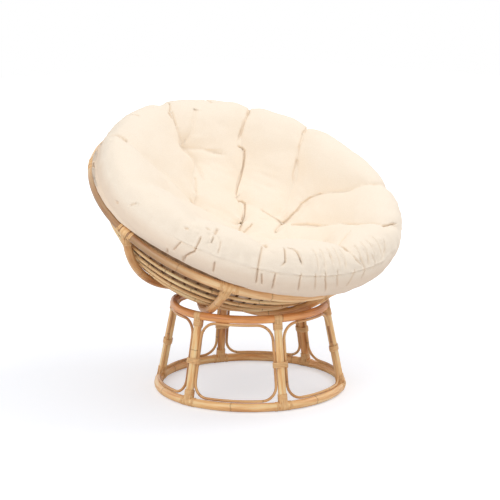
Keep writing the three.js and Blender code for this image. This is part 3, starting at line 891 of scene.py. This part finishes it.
SHARP_CREASES = [
    (6, 6, [(-135.4, 1.303), (-132.2, 1.216), (-129.9, 1.157)]),
    (5, 6, [(-135, 1.30), (-136.5, 1.45), (-137.9, 1.59)]),
    (7, 5.5, [(178.4, 1.422), (-177.9, 1.239), (-177.9, 1.141)]),
    (6, 5, [(-179.5, 1.247), (-178.6, 1.16), (-178.0, 1.08)]),
    (4, 11, [(-178.0, 1.08), (-177.9, 0.984), (-178.2, 0.899)]),
    (3.5, 11, [(167.3, 1.215), (170.3, 1.095), (173.5, 0.986), (-178.2, 0.899)]),
    (3.5, 10, [(-178.2, 0.899), (174.5, 0.859), (167.8, 0.836), (153.1, 0.787)]),
    (3.5, 12, [(-178.2, 0.899), (175.9, 0.768), (177.5, 0.671), (-176.4, 0.548)]),
    (9, 8, [(-178.2, 0.899), (-177.1, 0.92), (-176.1, 0.941)]),
    (5, 7, [(-170.9, 0.603), (-153.7, 0.493), (-129.0, 0.43)]),
    (8, 9, [(-133.3, 0.483), (-129.0, 0.43), (-126.2, 0.378), (-127.7, 0.317)]),
    (7, 5, [(138.6, 1.216), (139.4, 1.134), (140.3, 1.043), (141.6, 0.931)]),
    (7, 4.5, [(139.4, 1.134), (139.8, 1.054), (140.5, 0.943)]),
    (10, 4.5, [(140.6, 0.89), (137.8, 0.888), (136.1, 0.866), (135.2, 0.806), (135.0, 0.734),
               (135.9, 0.653), (138.8, 0.543), (140.7, 0.449), (141.3, 0.41)]),
    (10, 4.5, [(140.4, 0.36), (133.8, 0.361), (128.4, 0.334), (126.9, 0.265), (126.2, 0.16),
               (-164.8, 0.014), (-42.2, 0.134)]),
    (8, 5, [(-42.2, 0.134), (-23.4, 0.105), (44.7, 0.092)]),
    (6, 5.5, [(110.9, 1.219), (109.3, 1.141), (108.0, 1.06), (104.9, 0.959)]),
    (6, 7, [(104.9, 0.959), (102.7, 0.886), (101.0, 0.828), (97.0, 0.763)]),
    (9, 6, [(98.6, 0.315), (87.5, 0.332), (78.1, 0.386), (72.6, 0.442)]),
    (6, 7, [(72.6, 0.442), (57.1, 0.37), (25.5, 0.343)]),
    (8, 5, [(72.6, 0.442), (74.0, 0.525), (76.3, 0.601), (80.3, 0.676), (80.3, 0.746),
            (77.7, 0.824), (73.0, 0.89)]),
    (3, 12, [(73.0, 0.89), (69.7, 0.959), (67.0, 1.03), (65.2, 1.122), (64.3, 1.226)]),
    (8, 6, [(61.0, 0.487), (55.4, 0.614), (48.1, 0.727)]),
    (5, 8, [(48.1, 0.727), (39.8, 0.888), (34.0, 1.043), (31.7, 1.269)]),
    (10, 5, [(31.7, 1.269), (33.8, 1.359), (38.2, 1.466)]),
    (10, 6, [(-33.3, 1.179), (-31.7, 1.186), (-32.0, 1.298)]),
    (9, 4.5, [(-33.4, 1.268), (-34.4, 1.447), (-34.6, 1.576), (-34.1, 1.721)]),
    (9, 4.5, [(-32.7, 1.666), (-32.1, 1.718), (-31.2, 1.798)]),
    (11, 4.5, [(-25.6, 1.319), (-25.7, 1.419), (-25.7, 1.507), (-26.9, 1.552)]),
    (11, 4.5, [(-23.7, 1.288), (-21.8, 1.298), (-20.9, 1.36), (-20.3, 1.446), (-19.6, 1.519)]),
    (7, 7, [(19.2, 0.807), (4.8, 1.036), (3.4, 1.13)]),
    (11, 5, [(3.4, 1.13), (3.0, 1.206), (2.2, 1.319), (2.4, 1.41), (3.1, 1.494), (5.6, 1.583)]),
    (6, 6, [(3.4, 1.13), (11.3, 1.094), (19.4, 1.081)]),
    (8, 4.5, [(-61.7, 1.633), (-62.4, 1.688), (-63.1, 1.777)]),
    (11, 4.5, [(-56.3, 1.493), (-56.2, 1.592), (-56.2, 1.667), (-57.7, 1.723), (-58.4, 1.773),
               (-58.3, 1.907)]),
    (10, 6, [(-52.0, 1.224), (-52.2, 1.325), (-52.2, 1.396)]),
    (7, 4.5, [(-52.4, 1.413), (-52.1, 1.462), (-52.1, 1.519)]),
    (6, 4.5, [(-49.3, 1.45), (-48.7, 1.524), (-48.5, 1.596)]),
    (9, 4.5, [(-48.5, 1.681), (-48.1, 1.738), (-47.7, 1.843)]),
    (7, 6, [(-63.0, 1.481), (-62.1, 1.481), (-61.7, 1.461)]),
    (7, 6, [(-55.9, 1.361), (-55.2, 1.347), (-54.4, 1.35)]),
    (8, 5, [(-65.3, 1.80), (-65.3, 1.90), (-65.5, 1.96)]),
    (8, 5, [(-59.0, 1.79), (-58.8, 1.955)]),
    (6, 6, [(5.3, 1.475), (6.1, 1.555), (6.9, 1.645), (5.5, 1.727)]),
    (5, 6, [(10.6, 1.491), (12.1, 1.59), (10.9, 1.667)]),
    (7, 5, [(1.7, 1.602), (0.7, 1.695), (-0.1, 1.788)]),
    (5, 7, [(20.7, 1.425), (19.3, 1.529), (15.2, 1.598)]),
    (7, 7, [(-95.1, 1.726), (-92.9, 1.72)]),
    (6, 6, [(-86.9, 1.622), (-85.9, 1.58), (-85.1, 1.552)]),
    (10, 4, [(-34.2, 1.623), (-34.0, 1.675), (-33.2, 1.803)]),
    (9, 4.5, [(-28.3, 1.64), (-28.0, 1.728), (-27.1, 1.852)]),
    (8, 4.5, [(-19.6, 1.609), (-19.5, 1.694), (-18.5, 1.813)]),
    (8, 4.5, [(-10.9, 1.584), (-10.3, 1.668), (-8.0, 1.827)]),
    (6, 4.5, [(-6.1, 1.572), (-5.7, 1.656), (-4.2, 1.78)]),
    (6, 4.5, [(-14.5, 1.603), (-13.8, 1.688), (-12.7, 1.789)]),
    (10, 5, [(138.6, 1.216), (138.2, 1.38), (137.5, 1.56)]),
    (9, 5, [(110.9, 1.219), (111.6, 1.40), (112, 1.60)]),
    (4, 12, [(64.3, 1.226), (66, 1.42), (67.5, 1.61)]),
    (9, 5, [(178.4, 1.42), (178, 1.60)]),
    (7, 5, [(157, 1.32), (158, 1.48), (157.5, 1.61)]),
    (7, 5, [(-157, 1.35), (-156, 1.48), (-156.5, 1.61)]),
]
# azimuths of the pleats on the sides and back, of the soft gathers over the seam, and of the
# fine gathers that fan out on the low side
SIDE_PLEATS = (22, 30, 44, 53, 67, 78, 91, 103, 112, 124, 137, 149, 158, 171, 179, -168, -156, -143,
               -131, -118, -106, -84, -76)
SOFT_GATHERS = (-72, -66, -60.5, -58.5, -54, -50.5, -46.5, -43, -39, -30, -17, -12.5, -8, -3.5, 8, 13,
                18, 24, 36, 47, 58)
FINE_GATHERS = (-14, -11, -8, -5, -2, 6, 9.5, 13, 17)
# the creases are cut this much narrower than the table above says
CREASE_WIDTH = 0.64


def crease_line(stations):
    """A crease as close points on the cushion's full form."""
    flat = [(s * math.sin(math.radians(a)), -s * math.cos(math.radians(a))) for a, s in stations]
    x, y = [], []
    for (x0, y0), (x1, y1) in zip(flat, flat[1:]):
        steps = max(2, int(math.hypot(x1 - x0, y1 - y0) * 60))
        x += [x0 + (x1 - x0) * i / steps for i in range(steps)]
        y += [y0 + (y1 - y0) * i / steps for i in range(steps)]
    x = np.array(x + [flat[-1][0]])
    y = np.array(y + [flat[-1][1]])
    return cushion_point(np.degrees(np.arctan2(x, -y)), np.hypot(x, y))


def to_line(points, line):
    """Each point's distance from a line of points, and how far along the line that is, 0 to 1."""
    apart = np.linalg.norm(points[:, None, :] - line[None, :, :], axis=2)
    closest = apart.argmin(1)
    nearest = apart[np.arange(len(points)), closest]
    for other in (closest - 1, closest + 1):
        other = np.clip(other, 0, len(line) - 1)
        way = line[other] - line[closest]
        share = ((points - line[closest]) * way).sum(1) / np.maximum((way * way).sum(1), 1e-12)
        foot = line[closest] + way * np.clip(share, 0, 1)[:, None]
        nearest = np.minimum(nearest, np.linalg.norm(points - foot, axis=1))
    return nearest, closest / max(1, len(line) - 1)


def press(points, creases, tapers):
    """How far each point is pressed in by the creases, in metres."""
    most = np.zeros(len(points))
    for depth, width, stations in creases:
        line = crease_line(stations)
        reach = width / 1000 * 2.4
        low, high = line.min(0) - reach, line.max(0) + reach
        near = np.where(((points > low) & (points < high)).all(1))[0]
        if not len(near):
            continue
        apart, along = to_line(points[near], line)
        # a crease fades out at its last end
        fade = np.clip((1 - along) / tapers + 0.25, 0, 1) * np.clip(along / 0.06 + 0.5, 0, 1)
        pressed = depth / 1000 * fade * np.exp(-(apart / (width / 1000)) ** 2)
        most[near] = np.maximum(most[near], pressed) + 0.25 * np.minimum(most[near], pressed)
    return most


def station_rows(dish, lip, lining):
    """Stations of the shell's rows, with so many rows to each part."""
    parts = np.linspace(0, 1.24, dish), np.linspace(1.24, 2, lip)[1:], np.linspace(2, 3, lining)[1:]
    return np.concatenate(parts)


STATION_ROWS, AROUND = station_rows(86, 50, 22), 264


def cushion_shell(stations, around):
    """A closed ball, each vertex marked with its place in the cushion's plan."""
    bm = bmesh.new()
    rows = len(stations) - 1
    bmesh.ops.create_uvsphere(bm, u_segments=around, v_segments=rows, radius=1.0)
    across = bm.verts.layers.float.new("plan_x")
    along = bm.verts.layers.float.new("plan_y")
    for v in bm.verts:
        station = stations[round(math.acos(max(-1, min(1, v.co.z))) / math.pi * rows)]
        flat = math.hypot(v.co.x, v.co.y)
        if flat > 1e-6:
            v[across], v[along] = station * v.co.x / flat, station * v.co.y / flat
        else:
            v[across], v[along] = (0.0, 0.0) if station == 0 else (0.0, -3.0)
    return bm


def plan_of(bm):
    across, along = bm.verts.layers.float["plan_x"], bm.verts.layers.float["plan_y"]
    x = np.array([v[across] for v in bm.verts])
    y = np.array([v[along] for v in bm.verts])
    return np.degrees(np.arctan2(x, -y)), np.hypot(x, y)


def normals_of(bm):
    bm.normal_update()
    return np.array([v.normal[:] for v in bm.verts])


def place_all(bm, points):
    for v, at in zip(bm.verts, points):
        v.co = at


def refine_near(bm, lines, reach):
    """Halves the faces that lie close to a crease."""
    azimuth, station = plan_of(bm)
    form = cushion_point(azimuth, station)
    near = np.zeros(len(form), bool)
    for _, _, stations in lines:
        line = crease_line(stations)
        box = np.where(((form > line.min(0) - reach) & (form < line.max(0) + reach)).all(1))[0]
        if len(box):
            near[box[to_line(form[box], line)[0] < reach]] = True
    bm.verts.ensure_lookup_table()
    chosen = set()
    for i in np.where(near)[0]:
        chosen.update(bm.verts[int(i)].link_faces)
    edges = [e for e in bm.edges if any(f in chosen for f in e.link_faces)]
    bmesh.ops.subdivide_edges(bm, edges=edges, cuts=1, use_grid_fill=True)


SIM_ROWS, SIM_AROUND = station_rows(74, 42, 14), 270
SIM_FRAMES, MOST_MOVED = 10, 0.022
# no slack is added, because slack cloth buckles another way each run
CLOTH = {
    "quality": 5, "mass": 0.3, "use_pressure": True, "uniform_pressure_force": 12,
    "tension_stiffness": 5, "compression_stiffness": 5, "shear_stiffness": 4, "bending_stiffness": 1.0,
    "vertex_group_mass": "held", "pin_stiffness": 1.0,
}
# the skin starts this much smaller, because it swells
SMALLER_AT = (0, 0.2, 0.5, 0.7, 0.9, 1.1, 1.3, 1.5)
SMALLER_BY = (0, 0.003, 0.003, 0.004, 0.004, 0.003, 0.001, 0.001)


def slimmer(azimuth, station):
    """How much the lip draws back from the rim on the bowl's high side, in metres."""
    over = easy((station - 1.10) / 0.25) * (1 - easy((station - 1.88) / 0.12))
    return 0.014 * np.exp(-(turn_from(azimuth, -112) / 34) ** 2) * over


def held_share(azimuth, station):
    """Where the filling can't push the cloth out: sewn folds, tufts, the seam and the underside."""
    form = cushion_point(azimuth, station)
    held = easy((station - 1.90) / 0.08)
    for _, start, end, azimuths in MAIN_FOLDS:
        off = off_fold(form, azimuth, station, azimuths)
        sewn = easy((station - start) / 0.16) * (1 - easy((station - end) / 0.16))
        held = np.maximum(held, np.minimum(1, 1.4 * np.exp(-(off / 0.013) ** 2)) * sewn)
    for _, at, tuft_station in TUFTS:
        away = np.linalg.norm(form - cushion_point(at, tuft_station), axis=-1)
        held = np.maximum(held, np.exp(-(away / 0.016) ** 2))
    seam = np.exp(-((station - SEAM_STATION) / 0.012) ** 2)
    return np.maximum(held, 0.6 * seam)


def filled_out():
    """Blows the folded skin up from inside as cloth, and gives each point's movement on a grid."""
    bm = cushion_shell(SIM_ROWS, SIM_AROUND)
    azimuth, station = plan_of(bm)
    form = cushion_point(azimuth, station)
    place_all(bm, form)
    folded = form - normals_of(bm) * (main_folds(azimuth, station) + press(form, BROAD_FOLDS, 0.3))[:, None]
    held = held_share(azimuth, station)
    smaller = np.interp(station, SMALLER_AT, SMALLER_BY) * (1 - held)
    start = folded - normals_of(bm) * smaller[:, None]
    place_all(bm, start)
    mesh = new_mesh("filled", bm)
    skin = new_object("filled", mesh)
    scene = bpy.context.scene
    group = skin.vertex_groups.new(name="held")
    for i in np.where(held > 0.02)[0]:
        group.add([int(i)], float(held[i]), "REPLACE")
    cloth = skin.modifiers.new("cloth", "CLOTH")
    for key, value in CLOTH.items():
        setattr(cloth.settings, key, value)
    cloth.settings.effector_weights.gravity = 0
    cloth.collision_settings.use_collision = False
    cloth.point_cache.frame_start = 1
    cloth.point_cache.frame_end = SIM_FRAMES
    for f in range(1, SIM_FRAMES + 1):
        scene.frame_set(f)
    done = skin.evaluated_get(bpy.context.evaluated_depsgraph_get())
    flat = np.empty(len(done.data.vertices) * 3)
    done.data.vertices.foreach_get("co", flat)
    moved = flat.reshape(-1, 3) - folded
    bpy.data.objects.remove(skin)
    bpy.data.meshes.remove(mesh)
    scene.frame_set(1)
    length = np.linalg.norm(moved, axis=1, keepdims=True)
    moved *= np.minimum(1, MOST_MOVED / np.maximum(length, 1e-9))
    grid = np.zeros((len(SIM_ROWS), SIM_AROUND, 3))
    row = np.searchsorted(SIM_ROWS, station - 1e-6)
    column = np.round((azimuth % 360) / 360 * SIM_AROUND).astype(int) % SIM_AROUND
    grid[row, column] = moved
    grid[0], grid[-1] = moved[row == 0].mean(0), 0
    return (np.roll(grid, 1, axis=1) + 2 * grid + np.roll(grid, -1, axis=1)) / 4


def from_grid(grid, azimuth, station):
    row = np.clip(np.interp(station, SIM_ROWS, np.arange(len(SIM_ROWS))), 0, len(SIM_ROWS) - 1.0001)
    column = (azimuth % 360) / 360 * SIM_AROUND
    i, j = row.astype(int), column.astype(int)
    down, on = (row - i)[:, None], (column - j)[:, None]
    j, k = j % SIM_AROUND, (j + 1) % SIM_AROUND
    low = grid[i, j] * (1 - on) + grid[i, k] * on
    high = grid[i + 1, j] * (1 - on) + grid[i + 1, k] * on
    return low * (1 - down) + high * down


def fine_lines():
    """The creases and gathers that the mesh is refined for."""
    lines = list(SHARP_CREASES)
    for a in FINE_GATHERS:
        b = a * 0.96 - 0.4
        lines.append((4, 5, [(a, 1.30), ((a + b) / 2, 1.44), (b, 1.58)]))
    return [(depth, width * CREASE_WIDTH, stations) for depth, width, stations in lines]


def soft_puckers():
    lines = []
    for k, a in enumerate(SIDE_PLEATS):
        lines.append((2.5 + k % 3, 9, [(a, 1.50 + 0.03 * (k % 4)), (a + 2 - k % 4, 1.74), (a + 0.5, 1.86)]))
    for a in SOFT_GATHERS:
        lines.append((5, 6, [(a, 1.40), (a + 0.8, 1.52), (a + 0.2, 1.68)]))
    return lines


def lumps(form, size, high, shift=(0, 0, 0)):
    """Soft unevenness: size is how many lumps fit in a metre, high how far they stand out."""
    return np.array([noise.noise(Vector(p) * size + Vector(shift)) for p in form]) * high


def seam_ridge(azimuth, station):
    """The seam's ridge and the groove beside it, plainest along the front."""
    ridge = np.exp(-((station - SEAM_STATION) / 0.007) ** 2) * 0.0042
    ridge -= np.exp(-((station - SEAM_STATION + 0.014) / 0.009) ** 2) * 0.0022
    return ridge * (0.25 + 0.75 * easy((azimuth + 75) / 20) * easy((60 - azimuth) / 30))


def make_cushion():
    bm = cushion_shell(STATION_ROWS, AROUND)
    lines = fine_lines()
    for reach in (0.011, 0.0055, 0.0028):
        refine_near(bm, lines, reach)
    azimuth, station = plan_of(bm)
    form = cushion_point(azimuth, station)
    place_all(bm, form)
    at = form - normals_of(bm) * (main_folds(azimuth, station) + press(form, BROAD_FOLDS, 0.3))[:, None]
    at = at + from_grid(filled_out(), azimuth, station)
    place_all(bm, at)
    at = at - normals_of(bm) * slimmer(azimuth, station)[:, None]
    place_all(bm, at)
    creased = press(form, lines, 0.25)
    lump = lumps(form, 14.0, 0.0040) + lumps(form, 38.0, 0.0012, (3, 1, 7))
    lump += lumps(form, 52.0, 0.0034, (9, 4, 2)) * np.exp(-((station - 1.60) / 0.10) ** 2)
    lump += press(form, soft_puckers(), 0.5)
    # the underside only sinks in, away from the canes
    above = (creased + seam_ridge(azimuth, station) + lump) * (station < 2.0)
    beneath = (0.0035 + 0.7 * lump) * easy((station - 2.0) / 0.05) * (station >= 2.0)
    place_all(bm, at - normals_of(bm) * (above + beneath)[:, None])
    # painted shade: the underside is painted brown for the shade it lies in within the bowl, and painted
    # light leaves it paler where the front shows it through the canes
    pale = np.exp(-(turn_from(azimuth, -16) / 20) ** 4) * (1 - easy((station - 2.30) / 0.16))
    underside_shade = easy((station - 2.03) / 0.05) * (1 - pale)
    # creases look fainter on the side that faces the light
    dark = np.minimum(1, creased / 0.011) * (0.72 + 0.28 * easy((station - 1.50) / 0.15))
    for name, values in (("fold_shade", dark), ("plan_station", station), ("underside_shade", underside_shade)):
        layer = bm.verts.layers.float.new(name)
        for v, value in zip(bm.verts, values):
            v[layer] = value
    piece = finish_piece(bm, "cushion_pad", cushion_cotton, "cushion_cloth", "cushion", in_bowl, ["cushion"])


# Studio

FLOOR_Z = -0.0018
# name, azimuth, rise, distance, size and power
LAMPS = (("window", 62, 54, 3.8, 2.2, 43), ("fill", -78, 34, 4.0, 2.5, 34))


def pale_world():
    """Plain white where it is seen, and a touch less as light."""
    n = Nodes("studio", bpy.data.worlds, "Background")
    path = n.add("LightPath")
    seen = n.math("MAXIMUM", path.outputs["Is Camera Ray"], path.outputs["Is Glossy Ray"])
    return n.surface(Color=WHITE, Strength=n.graded(seen, 0.0, 1.0, 0.725, 1.0))


def floor_paint():
    n = Nodes("studio_floor")
    seen = n.add("LightPath").outputs["Is Camera Ray"]
    n.surface(Roughness=0.9, Base_Color=n.mix(seen, (0.84, 0.835, 0.85, 1), (0.95, 0.96, 1.0, 1)))
    glow = n.add("Emission", Color=(0.94, 0.965, 1, 1), Strength=1.66)
    # far from the chair the lamps fade, and the glow makes up for it
    far = n.add("VectorMath", {"operation": "LENGTH"}, Vector=n.object_place()).outputs["Value"]
    blend = n.add("MixShader")
    n.put(blend, 0, n.math("MULTIPLY", seen, n.graded(far, 0.9, 2.6, 0.26, 0.8)))
    n.put(blend, 1, n.shader.outputs[0])
    n.put(blend, 2, glow.outputs[0])
    n.put(n.tree.nodes["Material Output"], "Surface", blend.outputs[0])
    return n.owner


def make_studio():
    scene = bpy.context.scene
    scene.view_settings.view_transform = "Standard"
    scene.world = pale_world()
    bm = bmesh.new()
    # the straps under the bottom ring stand on the floor
    level = Matrix.Translation((0, 0, FLOOR_Z))
    bmesh.ops.create_grid(bm, x_segments=4, y_segments=4, size=12.0, matrix=level)
    floor = new_object("floor", new_mesh("floor", bm))
    floor.data.materials.append(floor_paint())
    for name, azimuth, rise, distance, size, power in LAMPS:
        data = bpy.data.lights.new(name, "AREA")
        data.size = size
        data.energy = power
        away = outward(azimuth, math.cos(math.radians(rise)), math.sin(math.radians(rise)))
        stand(name, data, Vector((0, 0, 0.5)) + away * distance, -away)


place_camera()
make_base()
make_bowl()
make_cushion()
make_studio()
